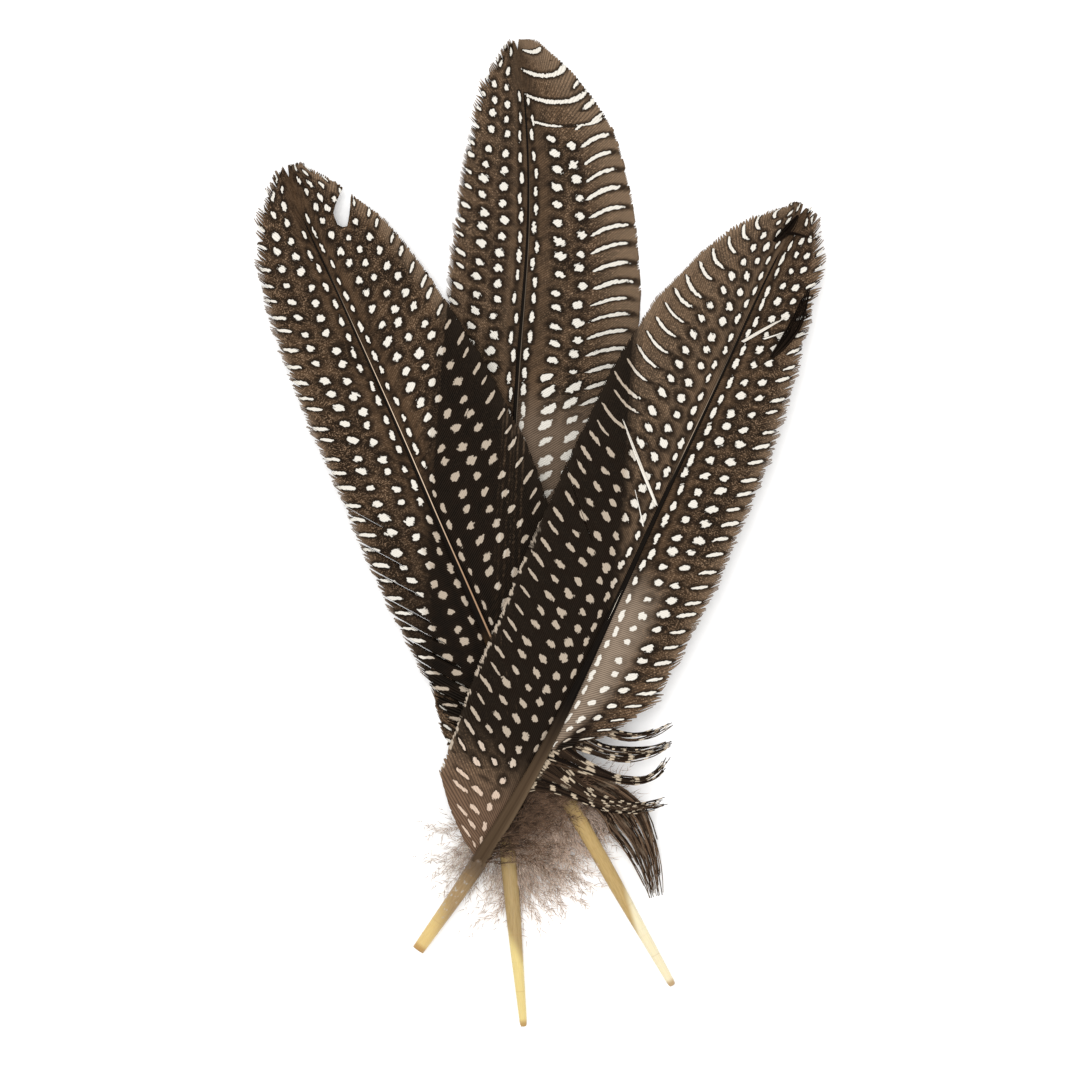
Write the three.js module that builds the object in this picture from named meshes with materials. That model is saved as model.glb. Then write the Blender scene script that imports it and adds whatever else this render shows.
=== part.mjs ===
// Three uncut guinea-fowl wing quills, laid flat in a loose fan. Millimetres, +Z up.
// Each quill is modelled straight, in its own frame (x to its right, y from the open end of its barrel
// to its tip, z above its shaft), and is then bent onto the curved line that its shaft really follows.
// The centre quill lies on the table, the left quill crosses over it, and the right quill lies on top.
import * as THREE from "three";

// Driving dimensions, the same for all three quills.
const GAP = 0.3; // between pieces that touch on the real quill
const BARREL_WALL = 0.4; // horn wall of the hollow barrel
const CORTEX_WALL = 0.35; // horn skin of the shaft, round its pith
const VANE_THICKNESS = 0.5; // barbs and the barbules that hook them together
const VANE_LIFT = 0.2; // the vanes leave the shaft a little above its middle
const NARROWEST = 0.4; // width of a vane where it runs out
const SHAFT_SIDES = 12;
const PITH_SIDES = 8;

// Driving dimensions of each quill.
// line: the shaft's middle, x y z, from the open end to the tip.
// barrel: length, and its radius at the open end, at the middle and where the shaft begins.
// shaftEnd: how far short of the tip the shaft stops, and its radius there.
// leftVane and rightVane: width from the middle of the shaft, at lengths along the quill.
// droop: how far a vane's free edge hangs below its root.
const QUILLS = {
  centre: {
    line: [
      [-3.2, -100.4, 1.0],
      [-5.2, -78.3, 1.7],
      [-7.0, -54.3, 2.1],
      [-6.8, -13.3, 2.7],
      [-4.6, 30.0, 2.7],
      [-2.2, 66.0, 1.9],
      [-3.0, 89.0, 1.2],
      [-4.7, 101.0, 0.8],
    ],
    barrel: { length: 44, radii: [0.7, 1.5, 1.8] },
    shaftEnd: { short: 3, radius: 0.4 },
    leftVane: [
      [44, 2.5], [52, 10], [66, 15], [100, 17], [160, 16], [176, 14.5], [187, 11.5], [195, 9], [199, 6],
      [201, 3.5],
    ],
    rightVane: [
      [44, 2.5], [52, 13], [70, 21], [110, 24], [152, 24], [168, 21.7], [182, 18.5], [192, 12.8], [201, 5],
    ],
    droop: 4.6,
    table: true,
  },
  left: {
    line: [
      [27.3, -92.0, 1.1],
      [14.1, -68.5, 3.2],
      [-1.8, -39.6, 5.8],
      [-17.2, -4.9, 7.1],
      [-29.1, 22.8, 7.1],
      [-41.2, 49.8, 5.8],
      [-48.4, 65.4, 4.6],
      [-51.6, 75.0, 3.8],
    ],
    barrel: { length: 47, radii: [0.75, 1.45, 1.65] },
    shaftEnd: { short: 4, radius: 0.4 },
    leftVane: [
      [52, 2.4], [60, 10], [67, 14.5], [100, 16.8], [142, 16.6], [157, 15.4], [168, 13.6], [177, 10],
      [182, 6.5], [184.5, 3.5],
    ],
    rightVane: [
      [55, 2.4], [64, 14], [80, 20], [112, 23], [135, 21.5], [155, 18.3], [168, 15], [179, 9.5], [184.5, 4],
    ],
    droop: 0.7,
    table: false,
  },
  right: {
    line: [
      [-24.8, -84.7, 1.7],
      [-13.9, -68.9, 4.8],
      [-1.8, -48.8, 8.8],
      [8.4, -28.9, 10.0],
      [25.2, 7.4, 10.3],
      [37.7, 34.0, 9.3],
      [47.5, 55.0, 7.8],
      [54.1, 67.2, 6.7],
    ],
    barrel: { length: 22, radii: [1.25, 1.5, 1.75] },
    shaftEnd: { short: 4, radius: 0.4 },
    leftVane: [
      [23, 2.5], [28, 10], [34, 16.5], [56, 19.8], [85, 21], [125, 21], [142, 19], [157, 13.5], [166, 8],
      [171, 3],
    ],
    rightVane: [
      [50, 2.5], [58, 10.5], [68, 16.6], [97, 17.7], [121, 16.7], [140, 14.2], [152, 12], [163, 10],
      [168, 7], [171, 4],
    ],
    droop: 0.7,
    table: false,
  },
};

// Down at the foot of each blade: a flat fan of limp barbs. at: the middle of the fan, along the quill;
// turn: the angles it spreads over, 0 towards the tip, 90 to the quill's right; reach: its radius;
// under and over: the heights of its two faces above the table, at its root and at its rim.
const DOWN = [
  {
    name: "centre_left_down", quill: "centre", side: -1, at: 43, turn: [-168, -95], reach: 15,
    under: [0.3, 0.2], over: [2.4, 0.9],
  },
  {
    name: "centre_right_down", quill: "centre", side: 1, at: 43, turn: [95, 168], reach: 17,
    under: [0.3, 0.2], over: [2.4, 0.9],
  },
  {
    name: "left_left_down", quill: "left", side: -1, at: 48, turn: [-172, -125], reach: 14,
    under: [4.25, 4.25], over: [5.0, 4.6],
  },
  {
    name: "left_right_down", quill: "left", side: 1, at: 45, turn: [112, 165], reach: 13,
    under: [3.4, 0.6], over: [4.6, 1.4],
  },
  {
    name: "right_right_down", quill: "right", side: 1, at: 38, turn: [75, 140], reach: 11,
    under: [7.0, 6.8], over: [8.4, 7.5],
  },
];

// Loose locks of barbs that have come unhooked from the vane. path: root, pull and point of a
// quadratic curve; widths: at the root, the middle and the point; thick: front to back.
const LOCKS = [
  {
    name: "right_loose_lock_1",
    path: [[8.5, -36.4, 9.3], [18.0, -44.0, 9.0], [27.0, -38.0, 8.2]],
    widths: [1.6, 1.6, 0.6],
    thick: 0.5,
  },
  {
    name: "right_loose_lock_2",
    path: [[6.6, -40.6, 9.1], [17.0, -47.5, 8.6], [27.0, -42.0, 7.4]],
    widths: [2.2, 3.0, 0.6],
    thick: 0.5,
  },
  {
    name: "right_loose_lock_3",
    path: [[4.7, -44.8, 8.8], [22.0, -55.0, 8.0], [26.4, -44.9, 7.0]],
    widths: [2.0, 1.6, 0.5],
    thick: 0.5,
  },
  {
    name: "right_loose_lock_4",
    path: [[2.8, -48.4, 8.4], [15.0, -58.0, 7.6], [26.0, -54.0, 6.4]],
    widths: [2.2, 2.4, 0.6],
    thick: 0.5,
  },
  {
    name: "left_drooping_lock",
    path: [[6.6, -49.6, 5.1], [21.5, -53.0, 5.3], [25.4, -73.5, 1.2]],
    widths: [2.4, 6.5, 2.0],
    thick: 0.8,
  },
];

const COLOURS = {
  barrel: { color: 0xd9bd6e, roughness: 0.35 },
  pulp: { color: 0xe9dcc0, roughness: 0.8 },
  shaft: { color: 0x3b2a1e, roughness: 0.4 },
  pith: { color: 0xf2ead8, roughness: 0.9 },
  vane: { color: 0x40332a, roughness: 0.85 },
  down: { color: 0x8d7a6b, roughness: 0.95 },
  lock: { color: 0x2e241d, roughness: 0.85 },
};

// A plain line of straight runs through [at, value] pairs.
function along(pairs, at) {
  const next = pairs.findIndex(([position]) => position >= at);
  if (next === 0) return pairs[0][1];
  if (next < 0) return pairs[pairs.length - 1][1];
  const [before, low] = pairs[next - 1];
  const [after, high] = pairs[next];
  return THREE.MathUtils.mapLinear(at, before, after, low, high);
}

// Moves every vertex of a geometry to place(x, y, z), and keeps only its positions.
function shaped(geometry, place) {
  const position = geometry.getAttribute("position");
  const from = new THREE.Vector3();
  for (let i = 0; i < position.count; i += 1) {
    from.fromBufferAttribute(position, i);
    const to = place(from.x, from.y, from.z);
    position.setXYZ(i, to.x, to.y, to.z);
  }
  geometry.deleteAttribute("uv");
  geometry.computeVertexNormals();
  return geometry;
}

function named(name, geometry, material) {
  const mesh = new THREE.Mesh(geometry, new THREE.MeshStandardMaterial({ metalness: 0, ...material }));
  mesh.name = name;
  return mesh;
}

// A quill's curved line. at(length) gives the point there, and its level direction to the right.
class Quill {
  constructor(name, dimensions) {
    Object.assign(this, dimensions);
    this.name = name;
    this.curve = new THREE.CatmullRomCurve3(dimensions.line.map((point) => new THREE.Vector3(...point)));
    this.curve.arcLengthDivisions = 400;
    this.length = this.curve.getLength();
    this.shaftTip = this.length - this.shaftEnd.short;
  }

  at(length) {
    const share = THREE.MathUtils.clamp(length / this.length, 0, 1);
    const middle = this.curve.getPointAt(share);
    const ahead = this.curve.getTangentAt(share);
    const right = new THREE.Vector3(ahead.y, -ahead.x, 0).normalize();
    return { middle, right };
  }

  // From the quill's straight frame to where the quill really lies.
  bend(across, length, height) {
    const { middle, right } = this.at(length);
    return middle.addScaledVector(right, across).add(new THREE.Vector3(0, 0, height));
  }

  barrelRadius(length) {
    const [open, middle, top] = this.barrel.radii;
    return along([[0, open], [this.barrel.length * 0.5, middle], [this.barrel.length, top]], length);
  }

  shaftRadius(length) {
    const top = this.barrel.radii[2];
    return along([[this.barrel.length, top], [this.shaftTip, this.shaftEnd.radius]], length);
  }
}

// A body turned about the quill's shaft from a profile of [radius, length] points, then bent.
function turned(quill, profile, sides) {
  const points = profile.map(([radius, length]) => new THREE.Vector2(radius, length));
  const lathe = new THREE.LatheGeometry(points, sides);
  return shaped(lathe, (x, y, z) => quill.bend(x, y, z));
}

// Evenly spaced lengths from start to end.
function stations(start, end, count) {
  return Array.from({ length: count + 1 }, (_, i) => THREE.MathUtils.lerp(start, end, i / count));
}

// The barrel: a hollow horn tube, open at its lower end where the blood supply once entered.
function barrel(quill) {
  const lengths = stations(0, quill.barrel.length - GAP / 2, 8);
  const outer = lengths.map((length) => [quill.barrelRadius(length), length]);
  const inner = lengths.map((length) => [quill.barrelRadius(length) - BARREL_WALL, length]).reverse();
  return turned(quill, [...outer, ...inner, outer[0]], SHAFT_SIDES);
}

// Dried pulp inside the barrel: a thin stalk that carries a row of cup-shaped caps.
function pulpCaps(quill) {
  const stalk = 0.16;
  const spacing = 4.5;
  const flare = 0.9;
  const start = 4;
  const end = quill.barrel.length - 3;
  const profile = [[0, start]];
  for (let length = start; length < end; length += spacing) {
    const rim = quill.barrelRadius(length) - BARREL_WALL - GAP;
    profile.push([stalk, length]);
    profile.push([Math.max(rim, stalk * 1.5), length + flare]);
    profile.push([stalk, length + flare * 1.5]);
  }
  profile.push([stalk, end], [0, end]);
  return turned(quill, profile, PITH_SIDES);
}

// The shaft's horn skin: it goes on from the barrel, tapers to the tip and is open at its foot.
function cortex(quill) {
  const start = quill.barrel.length + GAP / 2;
  const hollowEnd = pithEnd(quill) + GAP;
  const outer = stations(start, quill.shaftTip, 22).map((length) => [quill.shaftRadius(length), length]);
  const inner = stations(start, hollowEnd, 12).map((length) => {
    return [quill.shaftRadius(length) - CORTEX_WALL, length];
  });
  const ends = [[0, quill.shaftTip], [0, hollowEnd]];
  return turned(quill, [...outer, ...ends, ...inner.reverse(), outer[0]], SHAFT_SIDES);
}

// The pith runs up the shaft for as long as the shaft is thick enough to hold it.
function pithEnd(quill) {
  return quill.barrel.length + (quill.shaftTip - quill.barrel.length) * 0.6;
}

function pith(quill) {
  const lengths = stations(quill.barrel.length + GAP, pithEnd(quill), 12);
  const side = lengths.map((length) => [quill.shaftRadius(length) - CORTEX_WALL - GAP, length]);
  return turned(quill, [[0, lengths[0]], ...side, [0, pithEnd(quill)]], PITH_SIDES);
}

// One vane: a thin cambered sheet beside the shaft. side is -1 on the quill's left, 1 on its right.
function vane(quill, side) {
  const widths = side < 0 ? quill.leftVane : quill.rightVane;
  const first = widths[0][0];
  const last = widths[widths.length - 1][0];
  const widest = Math.max(...widths.map(([, width]) => width));
  const sheet = new THREE.BoxGeometry(1, 1, 1, 8, 26, 1);
  return shaped(sheet, (x, y, z) => {
    const length = THREE.MathUtils.lerp(first, last, y + 0.5);
    const share = side < 0 ? 0.5 - x : x + 0.5;
    const root = (length < quill.shaftTip ? quill.shaftRadius(length) : 0) + GAP;
    const edge = Math.max(along(widths, length), root + NARROWEST);
    const across = THREE.MathUtils.lerp(root, edge, share);
    const { middle } = quill.at(length);
    const level = VANE_LIFT - quill.droop * (across / widest) ** 2;
    const under = level - VANE_THICKNESS / 2;
    // The free edge of the lowest quill lies flat on the table.
    const floor = quill.table ? Math.max(under, -middle.z) : under;
    return quill.bend(side * across, length, floor + (z + 0.5) * VANE_THICKNESS);
  });
}

function downFan({ quill: name, side, at, turn, reach, under, over }) {
  const quill = quills[name];
  const rootOffset = quill.barrel.radii[2] + GAP * 2;
  const fan = new THREE.BoxGeometry(1, 1, 1, 8, 4, 1);
  return shaped(fan, (x, y, z) => {
    const angle = THREE.MathUtils.degToRad(THREE.MathUtils.lerp(turn[0], turn[1], x + 0.5));
    const radius = THREE.MathUtils.lerp(0.6, reach, y + 0.5);
    const across = side * rootOffset + radius * Math.sin(angle);
    const length = at + radius * Math.cos(angle);
    const low = THREE.MathUtils.lerp(under[0], under[1], y + 0.5);
    const high = THREE.MathUtils.lerp(over[0], over[1], y + 0.5);
    const place = quill.bend(across, length, 0);
    place.z = z < 0 ? low : high;
    return place;
  });
}

function lock({ path, widths, thick }) {
  const curve = new THREE.QuadraticBezierCurve3(...path.map((point) => new THREE.Vector3(...point)));
  const strip = new THREE.BoxGeometry(1, 1, 1, 1, 10, 1);
  return shaped(strip, (x, y, z) => {
    const share = y + 0.5;
    const place = curve.getPoint(share);
    const ahead = curve.getTangent(share);
    const right = new THREE.Vector3(ahead.y, -ahead.x, 0).normalize();
    const width = along([[0, widths[0]], [0.5, widths[1]], [1, widths[2]]], share);
    return place.addScaledVector(right, x * width).add(new THREE.Vector3(0, 0, z * thick));
  });
}

const quills = Object.fromEntries(
  Object.entries(QUILLS).map(([name, dimensions]) => [name, new Quill(name, dimensions)]),
);

const fan = new THREE.Group();
for (const quill of Object.values(quills)) {
  fan.add(
    named(`${quill.name}_barrel`, barrel(quill), COLOURS.barrel),
    named(`${quill.name}_pulp_caps`, pulpCaps(quill), COLOURS.pulp),
    named(`${quill.name}_shaft_cortex`, cortex(quill), COLOURS.shaft),
    named(`${quill.name}_shaft_pith`, pith(quill), COLOURS.pith),
    named(`${quill.name}_left_vane`, vane(quill, -1), COLOURS.vane),
    named(`${quill.name}_right_vane`, vane(quill, 1), COLOURS.vane),
  );
}
for (const tuft of DOWN) {
  fan.add(named(tuft.name, downFan(tuft), COLOURS.down));
}
for (const strand of LOCKS) {
  fan.add(named(strand.name, lock(strand), COLOURS.lock));
}

// The origin is the middle of the fan's box, on the table.
const extent = new THREE.Box3().setFromObject(fan, true);
const middle = extent.getCenter(new THREE.Vector3());
fan.position.set(-middle.x, -middle.y, -extent.min.z);

export default fan;
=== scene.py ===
import math
import random
from collections import namedtuple

import bmesh
import bpy
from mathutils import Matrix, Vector, geometry
from mathutils.bvhtree import BVHTree


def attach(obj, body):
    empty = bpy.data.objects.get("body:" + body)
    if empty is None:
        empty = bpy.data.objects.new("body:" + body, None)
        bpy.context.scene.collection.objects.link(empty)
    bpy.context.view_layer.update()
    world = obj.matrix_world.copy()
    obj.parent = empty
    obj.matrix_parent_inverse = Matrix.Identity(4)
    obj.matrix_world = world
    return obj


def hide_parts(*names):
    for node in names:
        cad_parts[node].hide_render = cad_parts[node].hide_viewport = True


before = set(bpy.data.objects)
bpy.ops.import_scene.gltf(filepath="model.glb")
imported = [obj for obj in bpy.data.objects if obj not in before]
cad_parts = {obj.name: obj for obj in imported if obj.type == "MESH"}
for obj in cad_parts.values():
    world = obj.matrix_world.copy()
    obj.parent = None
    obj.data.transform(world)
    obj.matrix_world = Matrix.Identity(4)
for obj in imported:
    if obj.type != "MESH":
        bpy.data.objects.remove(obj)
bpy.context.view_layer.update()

MM = 0.001
quill_names = ("centre", "left", "right")


# ---- Camera and studio -----------------------------------------------------------------------
# The fan lies on a white sheet and is seen from straight above through a long lens. Soft white
# light comes from all round and from a wide panel overhead, bright enough to burn out the sheet.
VIEW_WIDTH = 221.4 * MM
VIEW_HEIGHT = 1.0
SENSOR = 36.0

camera_data = bpy.data.cameras.new("camera")
camera_data.sensor_width = SENSOR
camera_data.lens = SENSOR * VIEW_HEIGHT / VIEW_WIDTH
camera_data.clip_start = 0.05
camera = bpy.data.objects.new("camera", camera_data)
camera.location = (0.2 * MM, -1.0 * MM, VIEW_HEIGHT)
bpy.context.collection.objects.link(camera)
bpy.context.scene.camera = camera
bpy.context.scene.view_settings.view_transform = "Standard"

world = bpy.data.worlds.new("studio")
bpy.context.scene.world = world
world.use_nodes = True
world.node_tree.nodes["Background"].inputs["Color"].default_value = (1.0, 0.99, 0.98, 1)
world.node_tree.nodes["Background"].inputs["Strength"].default_value = 1.15

panel_data = bpy.data.lights.new("overhead_panel", "AREA")
panel_data.shape = "DISK"
panel_data.size = 0.7
panel_data.energy = 7.0
panel = bpy.data.objects.new("overhead_panel", panel_data)
panel.location = (-0.12, 0.15, 1.1)
panel.rotation_euler = panel.location.to_track_quat("Z", "Y").to_euler()
bpy.context.collection.objects.link(panel)


class Value:
    """What one node of a material works out. Values and plain numbers can be mixed in sums."""

    def __init__(self, paint, socket):
        self.paint = paint
        self.socket = socket

    def __add__(self, other):
        return self.paint.math("ADD", self, other)

    def __sub__(self, other):
        return self.paint.math("SUBTRACT", self, other)

    def __rsub__(self, other):
        return self.paint.math("SUBTRACT", other, self)

    def __mul__(self, other):
        return self.paint.math("MULTIPLY", self, other)

    def __truediv__(self, other):
        return self.paint.math("DIVIDE", self, other)

    def __pow__(self, other):
        return self.paint.math("POWER", self, other)

    def __abs__(self):
        return self.paint.math("ABSOLUTE", self)


class Paint:
    """The nodes of one material."""

    def __init__(self, name, roughness=0.6, specular=0.5, subsurface=0.0):
        self.material = bpy.data.materials.new(name)
        self.material.use_nodes = True
        self.tree = self.material.node_tree
        self.shader = self.tree.nodes["Principled BSDF"]
        self.shader.inputs["Roughness"].default_value = roughness
        self.shader.inputs["Specular IOR Level"].default_value = specular
        self.shader.inputs["Subsurface Weight"].default_value = subsurface

    def put(self, socket, value):
        if isinstance(value, Value):
            self.tree.links.new(value.socket, socket)
        else:
            socket.default_value = value

    def node(self, kind, *values):
        """A new node, with the values on its first sockets."""
        node = self.tree.nodes.new(f"ShaderNode{kind}")
        for socket, value in zip(node.inputs, values):
            self.put(socket, value)
        return node

    def split(self, vector):
        return [Value(self, socket) for socket in self.node("SeparateXYZ", vector).outputs]

    def math(self, operation, *values):
        node = self.node("Math", *values)
        node.operation = operation
        return Value(self, node.outputs[0])

    def off_middle(self, value):
        """How far a value's fraction is from one half."""
        return abs(self.math("FRACT", value) - 0.5)

    def fade(self, value, start, end, low=0.0, high=1.0):
        """Goes smoothly from low to high while value goes from start to end."""
        node = self.node("MapRange", value, start, end, low, high)
        node.interpolation_type = "SMOOTHSTEP"
        return Value(self, node.outputs[0])

    def band(self, value, start, rise, fall, end):
        """1 in the middle of a stretch, fading to 0 over rise at its start and over fall at its end."""
        return self.fade(value, start, start + rise) * self.fade(value, end - fall, end, 1.0, 0.0)

    def mix(self, share, first, second):
        node = self.node("Mix")
        node.data_type = "RGBA"
        self.put(node.inputs["Factor"], share)
        for socket, colour in zip(node.inputs[6:8], (first, second)):
            self.put(socket, colour if isinstance(colour, Value) else (*colour, 1))
        return Value(self, node.outputs[2])

    def noise(self, vector, scale, detail=2.0):
        node = self.node("TexNoise", vector)
        node.inputs["Scale"].default_value = scale
        node.inputs["Detail"].default_value = detail
        return Value(self, node.outputs["Fac"])

    def random(self, vector):
        """Three random numbers from 0 to 1 that are the same wherever the vector is."""
        node = self.node("TexWhiteNoise", vector)
        return self.split(Value(self, node.outputs["Color"]))

    def join(self, x, y, z=0.0):
        return Value(self, self.node("CombineXYZ", x, y, z).outputs[0])

    def place(self):
        """Where a point is on the object, in millimetres."""
        on_object = self.node("TexCoord").outputs["Object"]
        node = self.node("VectorMath", Value(self, on_object))
        node.operation = "SCALE"
        node.inputs["Scale"].default_value = 1 / MM
        return Value(self, node.outputs[0])

    def laid(self, layer):
        """The two numbers that a piece carries in one of its own maps."""
        node = self.node("UVMap")
        node.uv_map = layer
        return self.split(Value(self, node.outputs[0]))[:2]

    def carried(self, attribute):
        node = self.node("Attribute")
        node.attribute_name = attribute
        return Value(self, node.outputs["Fac"])

    def finish(self, colour, roughness=None, height=None, depth=0.05 * MM):
        self.put(self.shader.inputs["Base Color"], colour)
        if roughness is not None:
            self.put(self.shader.inputs["Roughness"], roughness)
        if height is not None:
            bump = self.node("Bump")
            bump.inputs["Distance"].default_value = depth
            self.put(bump.inputs["Height"], height)
            self.put(self.shader.inputs["Normal"], Value(self, bump.outputs[0]))
        return self.material


def shades(colour, *factors):
    """Darker and lighter copies of a colour."""
    return [tuple(value * factor for value in colour) for factor in factors]


def made(name, bm, material, body=None):
    """Turns a finished bmesh into an object with its material, and lets it ride on its quill."""
    mesh = bpy.data.meshes.new(name)
    bm.to_mesh(mesh)
    bm.free()
    for face in mesh.polygons:
        face.use_smooth = True
    mesh.materials.append(material)
    piece = bpy.data.objects.new(name, mesh)
    bpy.context.collection.objects.link(piece)
    if body:
        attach(piece, body)
    return piece


sheet_bm = bmesh.new()
bmesh.ops.create_grid(sheet_bm, x_segments=1, y_segments=1, size=1.5)
paper = Paint("white_sheet", roughness=0.9, specular=0.1)
paper_grain = paper.noise(paper.place(), 0.8)
paper_white = paper.mix(paper_grain, (0.92, 0.92, 0.92), (0.95, 0.95, 0.95))
sheet = made("white_sheet", sheet_bm, paper.finish(paper_white))


# ---- How each quill lies ---------------------------------------------------------------------
# A quill is one long curved line from the open end of its barrel to its tip. The line and the
# shaft's thickness come from the rings of the frame's barrel and shaft, so nothing is fitted.
RING_GAP = 1.0
PAST_TIP = 8.0


def node_corners(node):
    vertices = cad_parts[node].data.vertices
    corners = {tuple(round(value / MM, 2) for value in vertex.co) for vertex in vertices}
    return [Vector(corner) for corner in sorted(corners)]


def in_rings(corners, place):
    """Sorts corners by their place and parts them wherever there is a gap."""
    corners = sorted(corners, key=place)
    rings = [[corners[0]]]
    for corner in corners[1:]:
        if place(corner) - place(rings[-1][-1]) > RING_GAP:
            rings.append([])
        rings[-1].append(corner)
    return rings


def value_at(places, values, place):
    """The value at a place, on straight runs through the places and values."""
    if place <= places[0]:
        return values[0]
    for i in range(1, len(places)):
        if place <= places[i]:
            share = (place - places[i - 1]) / (places[i] - places[i - 1])
            return values[i - 1] + (values[i] - values[i - 1]) * share
    return values[-1]


def right_of(ahead):
    """The level direction to the right of another one."""
    return Vector((ahead.y, -ahead.x, 0)).normalized()


class Line:
    """A quill's long curve. Lengths run along it from the open end, in millimetres."""

    STEP = 0.5

    def __init__(self, quill):
        self.body = f"{quill}_quill"
        barrel, shaft = node_corners(f"{quill}_barrel"), node_corners(f"{quill}_shaft_cortex")
        foot = min(barrel, key=lambda corner: corner.y)
        tip = max(shaft, key=lambda corner: corner.y)
        heading = (tip - foot).normalized()
        barrel_rings = in_rings(barrel, heading.dot)
        shaft_rings = in_rings(shaft, heading.dot)
        middles = [sum(ring, Vector()) / len(ring) for ring in barrel_rings + shaft_rings]
        middles.append(middles[-1] + (middles[-1] - middles[-2]).normalized() * PAST_TIP)
        self.points = self.even_steps(middles)
        self.barrel_end = self.length_at(middles[len(barrel_rings)])
        self.shaft_tip = self.length_at(middles[-2])
        self.places = [self.length_at(middle) for middle in middles[:len(barrel_rings)]]
        self.radii = [
            max((corner - middle).length for corner in ring) for ring, middle in zip(barrel_rings, middles)
        ]
        self.places += [self.shaft_tip]
        self.radii += [max((corner - middles[-2]).length for corner in shaft_rings[-1])]

    def even_steps(self, middles):
        """A smooth curve through the middles of the rings, as points a step apart."""
        curve = [middles[0]]
        for i in range(len(middles) - 1):
            before, here, there = middles[max(i - 1, 0)], middles[i], middles[i + 1]
            after = middles[min(i + 2, len(middles) - 1)]
            span = (there - here).length
            leave = here + (there - before).normalized() * span / 3
            reach = there - (after - here).normalized() * span / 3
            curve += geometry.interpolate_bezier(here, leave, reach, there, 16)[1:]
        points = [curve[0]]
        walked = 0.0
        for before, after in zip(curve, curve[1:]):
            stretch = (after - before).length
            while walked + stretch >= len(points) * self.STEP:
                points.append(before.lerp(after, (len(points) * self.STEP - walked) / stretch))
            walked += stretch
        return points

    def middle(self, length):
        place = min(max(length / self.STEP, 0.0), len(self.points) - 1.001)
        before = int(place)
        return self.points[before].lerp(self.points[before + 1], place - before)

    def right(self, length):
        """The level direction to the quill's right."""
        return right_of(self.middle(length + 4) - self.middle(length - 4))

    def length_at(self, point):
        nearest = min(range(len(self.points)), key=lambda n: (self.points[n].xy - point.xy).length_squared)
        right = self.right(nearest * self.STEP)
        ahead = Vector((-right.y, right.x))
        return nearest * self.STEP + (point.xy - self.points[nearest].xy).dot(ahead)

    def across(self, point):
        length = self.length_at(point)
        return (point.xy - self.middle(length).xy).dot(self.right(length).xy)

    def bend(self, across, length, height):
        """Where a point lies in metres, from its millimetres across, along and above the quill."""
        place = self.middle(length) + self.right(length) * across
        place.z += height
        return place * MM

    def radius(self, length):
        return value_at(self.places, self.radii, length)

    def bare_radius(self, length):
        """Half the width of the shaft that shows: up the blade, barbs lap over its sides."""
        above = length - self.barrel_end
        shown = value_at((0, 10, 35, 60), (1.12, 1.12, 0.85, 0.58), above)
        return self.radius(length) * shown * value_at((4, 9), (0.3, 1.0), self.shaft_tip - length)


lines = {quill: Line(quill) for quill in quill_names}


# ---- Barrels ---------------------------------------------------------------------------------
# The barrel is the bare horn tube that the hand holds. It is translucent: golden at its lower end,
# tan further up where the dried pulp shows through, and ringed by faint growth lines.
HORN_WALL = 0.4
NARROWEST_BORE = 0.22
GROWTH_LINE = (0.30, 0.16, 0.05)
BURNT_END = (0.28, 0.14, 0.04)
SHADE_UNDER_BARBS = (0.072, 0.045, 0.025)
MEMBRANE = (0.34, 0.30, 0.25)
# tan_from and slant: where the tan begins, and how far that edge leans. barb_shade: how dark the
# painted shade is at the top, under the barbs.
barrel_looks = {
    "centre": dict(
        tan_from=17, slant=3, cut=False, barb_shade=0.4, membrane=False,
        gold=(0.50, 0.40, 0.165), tan=(0.29, 0.205, 0.09),
    ),
    "left": dict(
        tan_from=18, slant=-5, cut=False, barb_shade=0.9, membrane=False,
        gold=(0.56, 0.50, 0.34), tan=(0.34, 0.235, 0.095),
    ),
    "right": dict(
        tan_from=7, slant=2, cut=True, barb_shade=0.95, membrane=True,
        gold=(0.46, 0.335, 0.135), tan=(0.245, 0.165, 0.08),
    ),
}


def round_section(sides):
    return [(math.sin(math.tau * i / sides), math.cos(math.tau * i / sides)) for i in range(sides)]


def tube(line, stations, section):
    """A ring of the section is extruded from station to station along a quill. Each station is a
    length and a radius. The map "Laid" holds turns round the tube, 0 along its back, and length."""
    bm = bmesh.new()
    laid = bm.loops.layers.uv.new("Laid")
    bmesh.ops.create_circle(bm, segments=len(section), radius=1)
    bm.verts.ensure_lookup_table()
    ring = list(bm.verts)
    rings = [ring]
    for _ in stations[1:]:
        edges = [edge for edge in bm.edges if edge.verts[0] in ring and edge.verts[1] in ring]
        partners = set(ring)
        grown = bmesh.ops.extrude_edge_only(bm, edges=edges)["geom"]
        new = {item for item in grown if isinstance(item, bmesh.types.BMVert)}
        ring = [next(e.other_vert(v) for e in v.link_edges if e.other_vert(v) in new) for v in ring]
        rings.append(ring)
    turns = [math.atan2(x, z) / math.tau for x, z in section]
    marks = {}
    for ring, (length, radius) in zip(rings, stations):
        for vertex, (x, z), turn in zip(ring, section, turns):
            vertex.co = line.bend(x * radius, length, z * radius)
            marks[vertex] = (turn, length)
    for face in bm.faces:
        half_turn = any(abs(marks[loop.vert][0]) > 0.4 for loop in face.loops)
        for loop in face.loops:
            turn, length = marks[loop.vert]
            loop[laid].uv = (abs(turn) if half_turn else turn, length)
    return bm


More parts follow.
